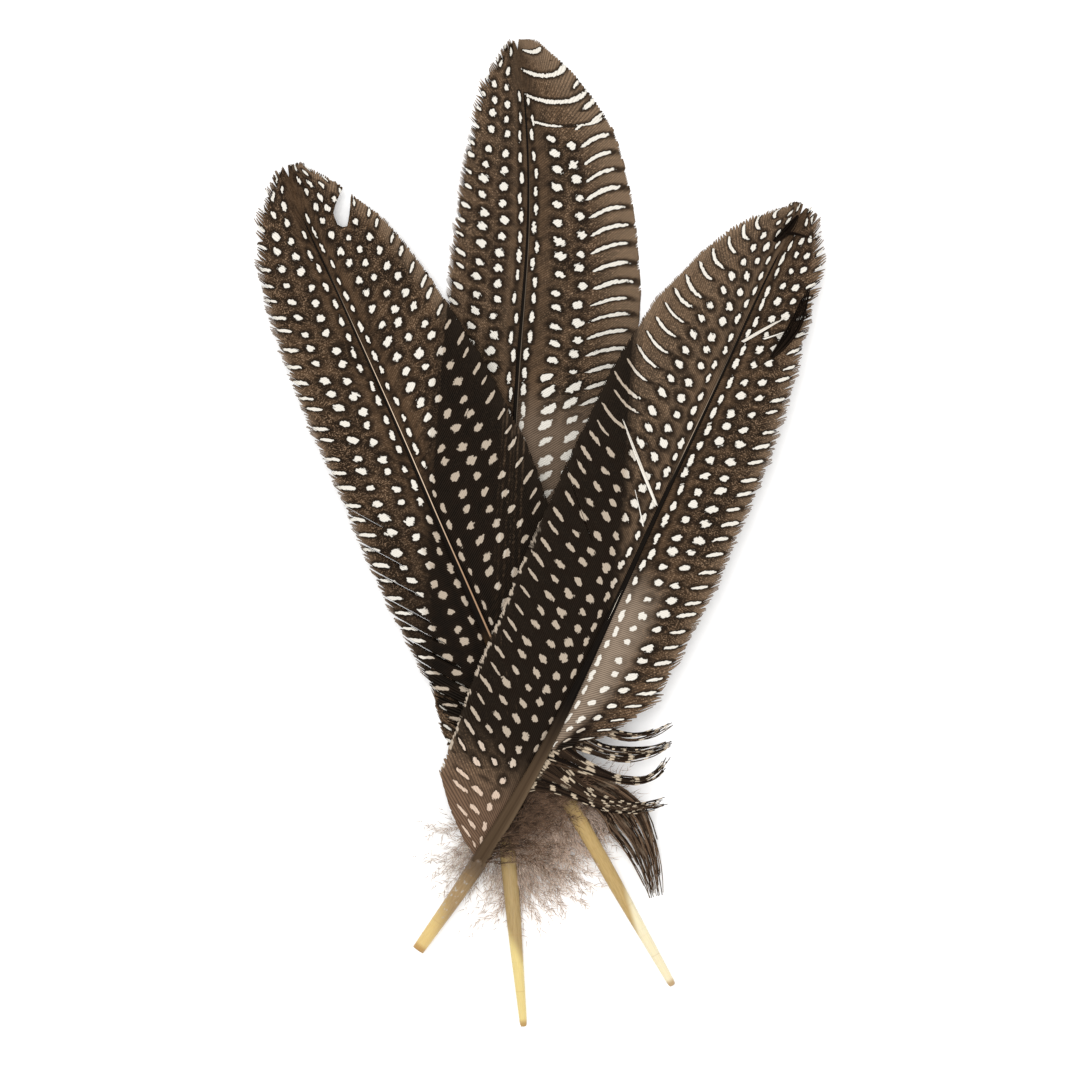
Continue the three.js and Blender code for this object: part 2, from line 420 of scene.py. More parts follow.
def horn(quill, look, top):
    paint = Paint(f"{quill}_horn", roughness=0.3, specular=0.2, subsurface=0.15)
    paint.shader.inputs["Subsurface Radius"].default_value = (1.2 * MM, 0.8 * MM, 0.35 * MM)
    turn, length = paint.laid("Laid")
    streaks = paint.noise(paint.join(turn * 9.0, length * 0.12), 3.0, 4.0)
    rings = paint.noise(paint.join(0.0, length * 1.3), 1.0, 3.0)
    # The edge of the pulp runs slantwise round the tube.
    slant = paint.math("SINE", turn * math.tau) * look["slant"]
    reach = length + slant + streaks * 3.0
    tan_full = look["tan_from"] + (8.0 if look["membrane"] else 3.5)
    tanned = paint.fade(reach, look["tan_from"] - 2.0, tan_full)
    gold = paint.mix(streaks, *shades(look["gold"], 1.0, 1.25))
    tan = paint.mix(streaks, *shades(look["tan"], 0.8, 1.3))
    colour = paint.mix(tanned, gold, tan)
    if look["membrane"]:
        # Scraps of white skin still cling to the top of this barrel.
        scraps = paint.noise(paint.join(turn * 14.0, length), 0.9, 4.0)
        high = paint.fade(length, look["tan_from"], look["tan_from"] + 3)
        colour = paint.mix(paint.fade(scraps, 0.58, 0.66) * high, colour, MEMBRANE)
    # Painted shade darkens the top of the barrel, under the barbs.
    barb_shade = paint.fade(length, top - 9, top - 1, 0.0, look["barb_shade"])
    colour = paint.mix(barb_shade, colour, SHADE_UNDER_BARBS)
    colour = paint.mix(paint.fade(rings, 0.60, 0.68, 0.0, 0.35), colour, GROWTH_LINE)
    colour = paint.mix(paint.fade(length, 0.5, 1.8, 0.7, 0.0), colour, BURNT_END)
    relief = rings * 0.5 + streaks * 0.5
    shine = paint.fade(streaks, 0.3, 0.7, 0.22, 0.36)
    return paint.finish(colour, roughness=shine, height=relief, depth=0.04 * MM)


for quill, look in barrel_looks.items():
    line = lines[quill]
    top = line.barrel_end + 1.0
    outer = [(top * i / 40, line.radius(top * i / 40)) for i in range(41)]
    outer[-1] = (top, outer[-1][1] * 0.88)
    if not look["cut"]:
        # An uncut barrel narrows to a small rounded foot round its opening.
        outer[0] = (0.0, outer[0][1] * 0.72)
        outer.insert(1, (0.35, line.radius(0.35) * 0.93))
    inner = [(length, max(radius - HORN_WALL, NARROWEST_BORE)) for length, radius in outer]
    bm = tube(line, outer[::-1] + inner, round_section(32))
    bmesh.ops.bridge_loops(bm, edges=[edge for edge in bm.edges if edge.is_boundary])
    bmesh.ops.recalc_face_normals(bm, faces=bm.faces)
    piece = made(f"{quill}_barrel_horn", bm, horn(quill, look, top), line.body)
    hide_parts(f"{quill}_barrel")


# ---- Dried pulp and pith ---------------------------------------------------------------------
# Inside the barrel lies the dried pulp, a stalk of papery cups, and inside the shaft the white
# spongy pith. Both grow with the quill and stay as the frame has them.
for part, light, dark in (
    ("pulp_caps", (0.66, 0.55, 0.36), (0.42, 0.30, 0.16)),
    ("shaft_pith", (0.74, 0.69, 0.58), (0.55, 0.49, 0.39)),
):
    paint = Paint(part, roughness=0.9, specular=0.1)
    sponge = paint.noise(paint.place(), 4.0, 5.0)
    material = paint.finish(paint.mix(sponge, dark, light), height=sponge)
    for quill in quill_names:
        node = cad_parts[f"{quill}_{part}"]
        node.data.materials.clear()
        node.data.materials.append(material)


# ---- Shafts ----------------------------------------------------------------------------------
# The shaft goes on from the barrel to the tip. Its horn skin is squarish, with a shallow groove
# along its back, brown at its foot and nearly black above. The right half of the foot is painted
# lighter as a lit side, and a painted highlight runs along a flank.
BACK_LINE = (0.002, 0.0015, 0.0015)
FLANK = (0.016, 0.011, 0.008)
FOOT_LIT_SIDE = (0.20, 0.14, 0.085)
FOOT_GROOVE = (0.03, 0.018, 0.01)
LOW_GLEAM = (0.34, 0.215, 0.13)
HIGH_GLEAM = (0.62, 0.48, 0.35)
SHAFT_TIP = (0.030, 0.018, 0.011)
# bare: the lengths between which the brown foot turns to the dark of the blade. lit: the lengths
# between which a painted highlight lies on a flank, and lit_turn: how far round it lies.
# lit_strength: how strong the highlight and the painted lit side of the foot are.
shaft_looks = {
    "centre": dict(foot=(0.20, 0.13, 0.06), bare=(50, 62), lit_strength=0.1, lit=(60, 190), lit_turn=0.10),
    "left": dict(foot=(0.16, 0.085, 0.03), bare=(70, 84), lit_strength=0.9, lit=(50, 165), lit_turn=0.09),
    "right": dict(foot=(0.075, 0.048, 0.028), bare=(40, 62), lit_strength=0.4, lit=(108, 146), lit_turn=-0.10),
}


def grooved_section(sides):
    """A rounded square, hollowed a little along its back."""
    section = []
    for i in range(sides):
        angle = math.tau * i / sides
        square = 1 / max(abs(math.sin(angle)), abs(math.cos(angle))) ** 0.45
        groove = 0.16 * math.exp(-((math.sin(angle / 2) / 0.22) ** 2))
        section.append((0.86 * math.sin(angle) * square, 0.9 * math.cos(angle) * (square - groove)))
    return section


def shaft_horn(quill, look, tip):
    paint = Paint(f"{quill}_shaft_horn", roughness=0.4, specular=0.05)
    paint.shader.inputs["Specular Tint"].default_value = (0.75, 0.6, 0.45, 1)
    turn, length = paint.laid("Laid")
    streaks = paint.noise(paint.join(turn * 24.0, length * 0.05), 2.0, 4.0)
    off_back = abs(turn)
    # Up the blade the back is a black line between two grey-brown flanks.
    dark = paint.mix(paint.fade(off_back, 0.10, 0.18), BACK_LINE, FLANK)
    foot = paint.mix(streaks, *shades(look["foot"], 0.5, 1.0))
    # Painted light: the right half of the foot is painted lighter, as its lit side.
    foot = paint.mix(paint.fade(turn, 0.05, 0.15) * look["lit_strength"], foot, FOOT_LIT_SIDE)
    foot = paint.mix(paint.fade(off_back, 0.0, 0.04, 1.0, 0.0) * 0.5, foot, FOOT_GROOVE)
    colour = paint.mix(paint.fade(length, *look["bare"]), foot, dark)
    # A painted highlight runs along one flank, between the lengths in lit.
    off_flank = abs(turn - look["lit_turn"])
    lit = paint.fade(off_flank, 0.01, 0.035, 1.0, 0.0) * (0.05 + look["lit_strength"])
    low, high = look["lit"]
    lit = lit * paint.band(length, low, 12, 30, high)
    gleam = paint.mix(paint.fade(length, 90, 120), LOW_GLEAM, HIGH_GLEAM)
    colour = paint.mix(lit, colour, gleam)
    colour = paint.mix(paint.fade(length, tip - 9, tip - 4), colour, SHAFT_TIP)
    shine = paint.fade(streaks, 0.3, 0.7, 0.35, 0.5)
    return paint.finish(colour, roughness=shine, height=streaks, depth=0.03 * MM)


for quill, look in shaft_looks.items():
    line = lines[quill]
    foot = line.barrel_end - 0.2
    steps = [foot + (line.shaft_tip + 1.0 - foot) * i / 110 for i in range(111)]
    bm = tube(line, [(length, line.bare_radius(length)) for length in steps], grooved_section(24))
    bmesh.ops.holes_fill(bm, edges=[edge for edge in bm.edges if edge.is_boundary])
    bmesh.ops.recalc_face_normals(bm, faces=bm.faces)
    piece = made(f"{quill}_shaft", bm, shaft_horn(quill, look, line.shaft_tip), line.body)
    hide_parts(f"{quill}_shaft_cortex")


# ---- Vanes -----------------------------------------------------------------------------------
# A vane is a sheet of some three hundred barbs hooked side by side. They leave the shaft at a slant,
# curve towards the tip and come loose at the free edge. White spots are grown into them in rows.
BARB_PITCH = 0.5
BARB_THICKNESS = 0.14
BARB_STEPS = 34
# Heights: a barb's ridge above its edges, a vane's root above the shaft's middle, and the least
# that a vane keeps above the sheet.
RIDGE = 0.035
VANE_LIFT = 0.2
LOWEST = 0.2
# The cap that closes the vane past the frame's last cut, and the stretch of shaft whose barbs turn
# towards the tip.
TIP_CAP = 1.6
TIP_TURN = 26.0
SPOT_SPACING = 3.45
BLACK_BROWN = (0.017, 0.0095, 0.005)
MID_BROWN = (0.072, 0.042, 0.0225)
EDGE_BROWN = (0.195, 0.135, 0.088)
SPOT_WHITE = (0.62, 0.59, 0.53)
SHADED_WHITE = (0.36, 0.30, 0.235)
FOOT_WHITE = (0.50, 0.385, 0.30)
FLECK_BROWN = (0.24, 0.158, 0.098)
PALE_HAIR = (0.26, 0.20, 0.155)
VALLEY_SHADE = (0.010, 0.006, 0.004)
SPOT_VALLEY_SHADE = (0.05, 0.04, 0.03)
FOOT_BLACK = (0.004, 0.0028, 0.002)
SHADE_BLACK = (0.003, 0.002, 0.0015)
RING_BLACK = (0.007, 0.004, 0.0025)
# A ring of rays feels for another quill beneath a point, which places the painted shade:
# the ring's radius, and how many rays.
SHADE_BLUR = 1.1
SHADE_RAYS = 5
# A row of spots that runs the whole length of the vane.
WHOLE = (0, 300)
# One row of spots beside the shaft. d is its distance from the shaft; half_d and half_s are a spot's
# half sizes across and along; span is where the row runs; slope lifts a spot's outer end and sag
# drops its middle.
Row = namedtuple(
    "Row", "d half_d half_s phase span slope blunt jitter spacing sag",
    defaults=(0.0, WHOLE, 0.0, 2.0, 0.4, SPOT_SPACING, 0.0),
)
# slant: how far along a barb's end lies beyond its root, per millimetre across. loose: how far in
# from the free edge the barbs are unhooked. droop: the free edge's drop below its root.
# splits: where the sheet has come apart: at the root, from what share of the width, and how wide.
# dark_foot: how black the foot is, and where along the vane that starts to fade and is gone.
# pale: where the sheet is thin and light brown: along from and to, and across to.
# cream_edge: the lengths between which the free edge carries a broken cream line.
vane_looks = {
    ("centre", -1): dict(
        margin=0.85, tint=0.14, slant=1.05, loose=2.0, ragged=0.45, clump=0.5, droop=4.6,
        rows=[
            Row(1.6, 0.42, 1.25, span=(70, 192), spacing=4.1),
            Row(5.7, 0.88, 0.80, 0.5),
            Row(10.3, 0.95, 0.74, 0.1, slope=0.3),
            Row(14.6, 1.0, 0.42, 0.6, slope=0.5, blunt=3.0),
        ],
        splits=[(120, 0.7, 0.2)],
    ),
    ("centre", 1): dict(
        margin=0.5, tint=0.08, slant=0.74, loose=0.5, ragged=0.1, clump=0.2, droop=4.6,
        pale=(60, 134, 40), pale_brown=(0.165, 0.118, 0.083),
        rows=[
            Row(1.7, 0.45, 1.1, 0.2, (70, 190), spacing=3.7),
            Row(6.8, 1.15, 0.68, 0.7, (135, 184), slope=-0.2, blunt=2.5),
            Row(6.4, 1.35, 0.80, 0.7, (0, 134), slope=0.5, blunt=3.0),
            Row(11.4, 0.95, 0.74, 0.3, (135, 181)),
            Row(11.4, 1.35, 0.80, 0.3, (0, 134), slope=0.5, blunt=3.0),
            Row(17.6, 4.2, 0.36, 0.85, (66, 184), slope=0.30, blunt=4.0, jitter=0.2, sag=-0.15),
            Row(12.5, 11.0, 0.36, 0.15, (184.5, 200), blunt=6.0, jitter=0.15, spacing=5.2, sag=0.16),
            Row(21.5, 2.6, 0.34, 0.85, (184, 197), slope=0.32, blunt=3.0),
        ],
        splits=[],
    ),
    ("left", -1): dict(
        margin=0.85, tint=0.0, slant=1.15, loose=2.2, ragged=0.5, clump=0.5, droop=0.7,
        dark_foot=(1.0, 24, 66),
        rows=[
            Row(1.8, 0.5, 0.95, 0.3, (70, 172), spacing=3.7),
            Row(5.4, 0.82, 0.76, 0.8),
            Row(9.9, 0.92, 0.70, 0.2, slope=0.35),
            Row(14.6, 1.5, 0.38, 0.65, slope=0.5, blunt=3.5),
        ],
        splits=[
            (57, 0.25, 0.9), (61, 0.3, 1.1), (65, 0.35, 0.9), (69.5, 0.4, 1.3), (74, 0.45, 0.8),
            (78, 0.5, 1.0), (84, 0.5, 0.9), (90, 0.55, 0.8), (98, 0.6, 0.4),
        ],
    ),
    ("left", 1): dict(
        margin=0.8, tint=0.0, slant=0.85, loose=0.6, ragged=0.15, clump=0.25, droop=0.7,
        dark_foot=(0.5, 24, 62),
        rows=[
            Row(2.0, 0.42, 0.95, 0.1, (80, 176)),
            Row(6.4, 0.92, 0.72, 0.6, slope=0.3),
            Row(10.8, 0.92, 0.75, 0.0, slope=0.2),
            Row(15.4, 1.0, 0.68, 0.5, slope=0.3),
            Row(20.4, 1.2, 0.38, 0.15, slope=0.6, blunt=3.0),
        ],
        splits=[(162.5, 0.55, 3.2)],
    ),
    ("right", -1): dict(
        margin=0.8, tint=0.28, slant=0.95, loose=0.7, ragged=0.15, clump=0.25, droop=0.7,
        pale=(-5, 44, 40), pale_brown=(0.135, 0.082, 0.052), cream_edge=(30, 92),
        rows=[
            Row(1.9, 0.45, 0.95, 0.4, (46, 166)),
            Row(5.2, 0.78, 0.76, 0.9, slope=0.2),
            Row(9.2, 0.95, 0.66, 0.3, (40, 300), slope=0.3),
            Row(13.4, 1.1, 0.56, 0.75, (40, 112), slope=0.4),
            Row(17.8, 1.5, 0.38, 0.2, (40, 112), slope=0.55, blunt=3.0),
            Row(16.2, 3.5, 0.30, 0.75, (113, 300), slope=0.42, blunt=4.0, sag=0.2),
            Row(10.0, 1.7, 0.45, 0.3, (0, 38), slope=0.15, blunt=3.0),
            Row(15.0, 2.2, 0.42, 0.75, (0, 38), slope=0.15, blunt=3.0),
        ],
        splits=[(84, 0.4, 0.2)],
    ),
    ("right", 1): dict(
        margin=0.75, tint=0.03, slant=1.0, loose=2.2, ragged=0.5, clump=0.5, droop=0.7,
        dark_foot=(0.6, 3, 14), pale=(40, 94, 8), pale_brown=(0.25, 0.19, 0.14),
        rows=[
            Row(2.1, 0.5, 1.2, 0.0, (46, 166)),
            Row(5.9, 0.82, 0.74, 0.5, slope=0.2),
            Row(10.0, 0.95, 0.70, 0.1, slope=0.35),
            Row(14.6, 1.4, 0.38, 0.6, slope=0.6, blunt=3.0),
        ],
        splits=[],
    ),
}


def vane_widths(line, node):
    """The lengths at which the frame's vane was cut, and its width at each."""
    corners = [(line.length_at(corner), abs(line.across(corner))) for corner in node_corners(node)]
    cuts = in_rings(corners, lambda corner: corner[0])
    lengths = [sum(length for length, _ in cut) / len(cut) for cut in cuts]
    return lengths, [max(width for _, width in cut) for cut in cuts]


class Vane:
    """One vane. side is -1 for the left one and 1 for the right one."""

    def __init__(self, quill, side, look):
        self.quill = quill
        self.line = lines[quill]
        self.side = side
        self.look = look
        self.lengths, self.widths = vane_widths(self.line, f"{quill}_{'left' if side < 0 else 'right'}_vane")
        self.widest = max(self.widths)
        self.foot = self.lengths[0]
        self.barbs = int((self.line.shaft_tip - self.foot) / BARB_PITCH)
        self.ends = [self.barb_end(self.foot + barb * BARB_PITCH) for barb in range(self.barbs + 1)]

    def width(self, length):
        """The vane's width, which closes in a round cap past the frame's last cut."""
        past = max(length - self.lengths[-1], 0.0) / TIP_CAP
        return value_at(self.lengths, self.widths, length) * math.sqrt(max(1 - past**2, 0.0))

    def barb_end(self, root):
        """How far along the barb that leaves the shaft at a given length reaches the free edge."""
        to_tip = max(1 - (self.line.shaft_tip - root) / TIP_TURN, 0.0)
        slant = self.look["slant"] * (1 + 8 * to_tip**2) * value_at((0, 12), (0.35, 1.0), root - self.foot)
        low, high = root, self.lengths[-1] + TIP_CAP
        for _ in range(24):
            middle = (low + high) / 2
            if middle - root < slant * self.width(middle):
                low = middle
            else:
                high = middle
        return low

    def place(self, barb, share):
        """Where a share of a barb's length lies: across and along the quill."""
        barb = min(max(barb, 0.0), self.barbs - 0.001)
        before = int(barb)
        end = self.ends[before] + (self.ends[before + 1] - self.ends[before]) * (barb - before)
        root = self.foot + barb * BARB_PITCH
        start = self.line.bare_radius(root) * 0.6 - value_at((0, 8), (0.6, 0.0), self.line.shaft_tip - root)
        across = start + (self.width(end) - start) * share
        along = root + (end - root) * (0.82 * share + 0.18 * share**2)
        return across, along

    def height(self, across):
        return VANE_LIFT - self.look["droop"] * (across / self.widest) ** 2


def blades_beside(quill):
    """The vanes and shafts of the other quills, as the frame has them."""
    corners, faces = [], []
    for other in quill_names:
        for part in ("left_vane", "shaft_cortex", "right_vane"):
            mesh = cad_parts[f"{other}_{part}"].data
            if other != quill:
                faces += [tuple(len(corners) + i for i in face.vertices) for face in mesh.polygons]
                corners += [vertex.co.copy() for vertex in mesh.vertices]
    return BVHTree.FromPolygons(corners, faces)


def shaded(blades, place):
    """The painted shade at a point: how much light from below other quills' blades shut out."""
    hits = 0
    for ray in range(SHADE_RAYS):
        angle = math.tau * ray / SHADE_RAYS
        aside = Vector((math.cos(angle), math.sin(angle), 0)) * SHADE_BLUR * MM
        if blades.ray_cast(place + aside, Vector((0, 0, -1)))[0]:
            hits += 1
    return hits / SHADE_RAYS


def loose_edge(vane, rng):
    """How each barb ends: where it comes unhooked, where its tip is, and the clump that it leans to."""
    look = vane.look
    unhooked, tips, lean = [], [], []
    clump_left = 0
    for barb in range(vane.barbs):
        if clump_left == 0:
            clump_left = rng.randint(2, 6)
            centre = min(barb + clump_left / 2, vane.barbs)
            clump_tip = rng.gauss(0, 0.6)
        clump_left -= 1
        if vane.barbs - barb < 14:
            centre = barb + 0.5
        root = vane.foot + barb * BARB_PITCH
        reach = max(math.hypot(vane.width(vane.ends[barb]), vane.ends[barb] - root), 2.5)
        start = 1 - min(look["loose"] * rng.uniform(0.5, 1.4) / reach, 0.5)
        tip = 1 + look["ragged"] * (clump_tip + rng.gauss(-0.7, 0.35)) / reach
        unhooked.append(start)
        tips.append(max(tip, start + 0.3 * (1 - start)))
        lean.append(centre)
    return unhooked, tips, lean


def vane_mesh(vane, rng):
    """A grid with two columns for each barb is cut open between the barbs where they are unhooked,
    and each point is then set on its barb."""
    columns = vane.barbs * 2
    bm = bmesh.new()
    laid = bm.loops.layers.uv.new("Laid")
    barbed = bm.loops.layers.uv.new("Barb")
    painted_shade = bm.verts.layers.float.new("painted_shade")
    bmesh.ops.create_grid(bm, x_segments=columns, y_segments=BARB_STEPS, size=0.5)
    unhooked, tips, lean = loose_edge(vane, rng)
    splits = [
        (int((root - vane.foot) / BARB_PITCH), from_share, gap / BARB_PITCH / 2)
        for root, from_share, gap in vane.look["splits"]
    ]
    opened = [min(pair) for pair in zip(unhooked, unhooked[1:] + unhooked[-1:])]
    for barb, from_share, _ in splits:
        opened[barb] = min(opened[barb], from_share)

    def share_of(step):
        """Rows lie closer together towards the free edge."""
        return (step / BARB_STEPS) ** 0.75

    def column_of(vertex):
        return round((vertex.co.x + 0.5) * columns)

    def step_of(vertex):
        return round((vertex.co.y + 0.5) * BARB_STEPS)

    to_open = []
    for edge in bm.edges:
        column = column_of(edge.verts[0])
        if column != column_of(edge.verts[1]) or column % 2 or column in (0, columns):
            continue
        lower = min(step_of(vertex) for vertex in edge.verts)
        if share_of(lower) >= opened[column // 2 - 1]:
            to_open.append(edge)
    bmesh.ops.split_edges(bm, edges=to_open)

    barbs_of = {}
    for vertex in bm.verts:
        centres = [face.calc_center_median().x + 0.5 for face in vertex.link_faces]
        barbs_of[vertex] = {min(int(centre * vane.barbs), vane.barbs - 1) for centre in centres}
    places = {}
    for vertex, barbs in barbs_of.items():
        column, step = column_of(vertex), step_of(vertex)
        barb = min(barbs)
        share = share_of(step)
        at = column / 2
        ridge = 1.0 if column % 2 else -1.0
        start = unhooked[barb]
        if len(barbs) == 1:
            # A loose barb tapers to its point and leans to the middle of its clump.
            past = max((share - start) / (1 - start), 0.0)
            at += (barb + 0.5 - at) * 0.85 * past
            at += (lean[barb] - at) * vane.look["clump"] * past**1.5 * 0.7
            if past > 0:
                share = start + (tips[barb] - start) * past
        for split, from_share, gap in splits:
            if share > from_share:
                spread = 4 + 6 * gap
                off = (barb if len(barbs) == 1 else at) - split
                sign = 1 if off > 0 else -1
                # A split opens at once, is widest half way and narrows to the free edge.
                run = (share - from_share) / (1 - from_share)
                ramp = min(run / 0.2, 1.0) * (1 - 0.6 * run**2)
                at += sign * gap * ramp * math.exp(-abs(off) / spread)
        across, along = vane.place(at, share)
        places[vertex] = (at, share, across, along)
        height = vane.height(across) + ridge * RIDGE
        vertex.co = vane.line.bend(vane.side * across, along, height)
        vertex.co.z = max(vertex.co.z, LOWEST * MM)
    for face in bm.faces:
        for loop in face.loops:
            at, share, across, along = places[loop.vert]
            squeeze = vane.widest / max(vane.width(along), 4.0)
            loop[laid].uv = (across * squeeze, along)
            loop[barbed].uv = (at, share)
    # Each point carries the painted shade cast by the other quills beneath it.
    blades = blades_beside(vane.quill)
    for vertex in bm.verts:
        vertex[painted_shade] = shaded(blades, vertex.co)
    if vane.side < 0:
        bmesh.ops.reverse_faces(bm, faces=bm.faces)
    return bm


def spots(paint, rows):
    """How far a point is from the nearest spot, 1 on a spot's edge."""
    across, along = paint.laid("Laid")
    nearest = None
    for number, spot in enumerate(rows):
        steps = along / spot.spacing + spot.phase
        chance = paint.random(paint.join(paint.math("FLOOR", steps), float(number), spot.d))
        off_s = (paint.math("FRACT", steps) - 0.5) * spot.spacing
        off_s = off_s + paint.fade(chance[0], 0, 1, -spot.jitter, spot.jitter)
        off_d = across - spot.d + paint.fade(chance[1], 0, 1, -spot.jitter, spot.jitter)
        off_s = off_s - off_d * spot.slope
        if spot.sag:
            off_s = off_s - off_d * off_d * (spot.sag / spot.half_d)
        x = abs(off_d / spot.half_d) ** spot.blunt
        y = abs(off_s / spot.half_s) ** 2.0
        near = paint.math("SQRT", x + y) / paint.fade(chance[2], 0, 1, 0.85, 1.12)
        low, high = spot.span
        if low > WHOLE[0]:
            near = near + paint.fade(along, low - 2, low, 9.0, 0.0)
        if high < WHOLE[1]:
            near = near + paint.fade(along, high, high + 2, 0.0, 9.0)
        nearest = near if nearest is None else paint.math("MINIMUM", nearest, near)
    return nearest


def vane_paint(vane, name):
    look = vane.look
    paint = Paint(name, roughness=0.75, specular=0.015)
    across, along = paint.laid("Laid")
    barb, share = paint.laid("Barb")
    place = paint.join(across, along)
    own = paint.random(paint.join(paint.math("FLOOR", barb), 3.0))
    grain = paint.noise(place, 1.3, 3.0)
    # Streaks run along the barbs, a few barbs wide.
    streaks = paint.noise(paint.join(barb * 0.35, share * 4.0), 1.0, 3.0)
    # A spot's edge steps from barb to barb.
    near = spots(paint, look["rows"]) + ((own[0] - 0.5) * 0.45 + (grain - 0.5) * 1.5)
    # Brown ground, lighter along the free edge.
    tone = paint.noise(paint.join(across * 0.12, along * 0.06), 1.0, 2.0) * 0.5 + streaks * 0.5
    ground = paint.mix(paint.fade(tone, 0.38, 0.62), BLACK_BROWN, MID_BROWN)
    margin = paint.fade(share, look["margin"], 1.0, 0.0, 0.75)
    ground = paint.mix(paint.math("MAXIMUM", margin, look["tint"]), ground, EDGE_BROWN)
    # Fine pale worm-like flecks, mostly in the outer half.
    worm = abs(paint.noise(paint.join(across * 0.75, along), 1.9, 1.0) - 0.5)
    broken = paint.fade(paint.noise(place, 2.3, 1.0), 0.40, 0.54)
    outer = paint.fade(across, vane.widest * 0.08, vane.widest * 0.4, 0.15, 0.85)
    flecks = paint.fade(worm, 0.015, 0.06, 1.0, 0.0) * broken * outer
    # Painted shade darkens the valleys between the barbs against their backs, most of all where
    # the sheet is thin.
    off_back = paint.off_middle(barb)
    valley_shade = paint.fade(off_back, 0.15, 0.5)
    painted_shade = paint.carried("painted_shade")
    thin = 0.0
    if "pale" in look:
        from_s, to_s, to_d = look["pale"]
        thin = paint.band(along, from_s, 6, 14, to_s) * paint.fade(across, to_d - 3, to_d + 3, 1.0, 0.0)
        ground = paint.mix(thin, ground, look["pale_brown"])
        flecks = flecks * paint.fade(thin, 0.0, 1.0, 1.0, 0.15)
        painted_shade = painted_shade * paint.fade(thin, 0.0, 0.6, 1.0, 0.0)
    colour = paint.mix(flecks, ground, FLECK_BROWN)
    # Painted shade in the valleys between the barbs.
    colour = paint.mix(valley_shade * paint.fade(thin, 0.0, 1.0, 0.5, 0.6), colour, VALLEY_SHADE)
    if "dark_foot" in look:
        strength, full, gone = look["dark_foot"]
        foot = paint.fade(along, vane.foot + full, vane.foot + gone, strength * 0.9, 0.0)
        colour = paint.mix(foot * paint.fade(thin, 0.0, 1.0, 1.0, 0.0), colour, FOOT_BLACK)
    if "cream_edge" in look:
        # The painted shade is left off the foot of this vane, which stays brown whatever it lies on.
        painted_shade = painted_shade * paint.fade(along, 32, 50)
    # Painted shade: the blade is painted darker where another quill beneath it shuts out the light.
    colour = paint.mix(painted_shade * 0.95, colour, SHADE_BLACK)
    # Each spot is ringed by near-black.
    halo = paint.fade(near, 1.2, 3.3, 0.92, 0.0) * paint.fade(thin, 0.0, 1.0, 1.0, 0.2)
    colour = paint.mix(halo, colour, RING_BLACK)
    if look["ragged"] > 0.3:
        # The tips of the loose barbs thin out to pale hairs, except where the painted shade falls.
        colour = paint.mix(paint.fade(share, 0.92, 1.0, 0.0, 0.8) * (1.0 - painted_shade), colour, PALE_HAIR)
    # Spots are painted a shaded beige where the painted shade falls.
    white = paint.mix(painted_shade, SPOT_WHITE, SHADED_WHITE)
    if "cream_edge" in look:
        white = paint.mix(paint.fade(along, 36, 50, 1.0, 0.0), white, FOOT_WHITE)
    colour = paint.mix(paint.fade(near, 0.88, 1.12, 1.0, 0.0), colour, white)
    if "cream_edge" in look:
        low, high = look["cream_edge"]
        edge = paint.fade(share + (own[1] - 0.5) * 0.03, 0.955, 0.97)
        breaks = paint.fade(paint.noise(paint.join(0.0, along), 0.3, 3.0), 0.46, 0.5)
        colour = paint.mix(paint.band(along, low, 4, 8, high) * edge * breaks, colour, SHADED_WHITE)
    # Painted shade in the valleys shows the barbs on the light spots too.
    colour = paint.mix(valley_shade * 0.22, colour, SPOT_VALLEY_SHADE)
    rough = paint.fade(grain, 0.3, 0.7, 0.68, 0.85)
    return paint.finish(colour, roughness=rough, height=off_back * -1.0, depth=0.06 * MM)


def thickened(piece, thickness):
    wall = piece.modifiers.new("thickness", "SOLIDIFY")
    wall.thickness = thickness * MM
    wall.offset = 0


rng = random.Random(7)
for (quill, side), look in vane_looks.items():
    vane = Vane(quill, side, look)
    name = f"{quill}_{'left' if side < 0 else 'right'}_vane"
    piece = made(f"{name}_barbs", vane_mesh(vane, rng), vane_paint(vane, name), vane.line.body)
    thickened(piece, BARB_THICKNESS)
    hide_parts(name)


# ---- Loose barbs -----------------------------------------------------------------------------
# Low on the right quill, and under the left one, barbs have come unhooked and stand away in locks.
# Each lock is a dozen or more dark barbs with cream bars, which narrow together to a point.
CREAM = (0.50, 0.41, 0.30)
BLACK_BARBS = ((0.006, 0.004, 0.003), (0.055, 0.034, 0.021))
BROWN_BARBS = ((0.010, 0.006, 0.004), (0.17, 0.108, 0.068))
BARB_WIDTH = 0.48
LOOSE_THICKNESS = 0.1
STRAND_STEPS = 14
# root_spread: how far along the shaft, each way, the roots of a lock's barbs lie. widen and shift
# fit the barbs to the frame's strip, and stray lets them wave about it. bars and strength: how many
# light bars cross the lock, and how plain they are.
Lock = namedtuple("Lock", "quill count stray root_spread widen shift bars strength barbs")
locks = {
    "right_loose_lock_1": Lock("right", 14, 0.5, 3.0, 1.0, 0.0, 3.5, 0.8, BLACK_BARBS),
    "right_loose_lock_2": Lock("right", 26, 0.5, 3.5, 1.0, 0.0, 5.5, 0.9, BLACK_BARBS),
    "right_loose_lock_3": Lock("right", 18, 0.5, 4.0, 1.0, 0.0, 5.5, 0.8, BLACK_BARBS),
    "right_loose_lock_4": Lock("right", 34, 0.7, 6.0, 1.2, 0.0, 6.5, 0.85, BLACK_BARBS),
    "left_drooping_lock": Lock("left", 80, 0.7, 5.0, 1.35, 1.6, 4.0, 0.12, BROWN_BARBS),
}


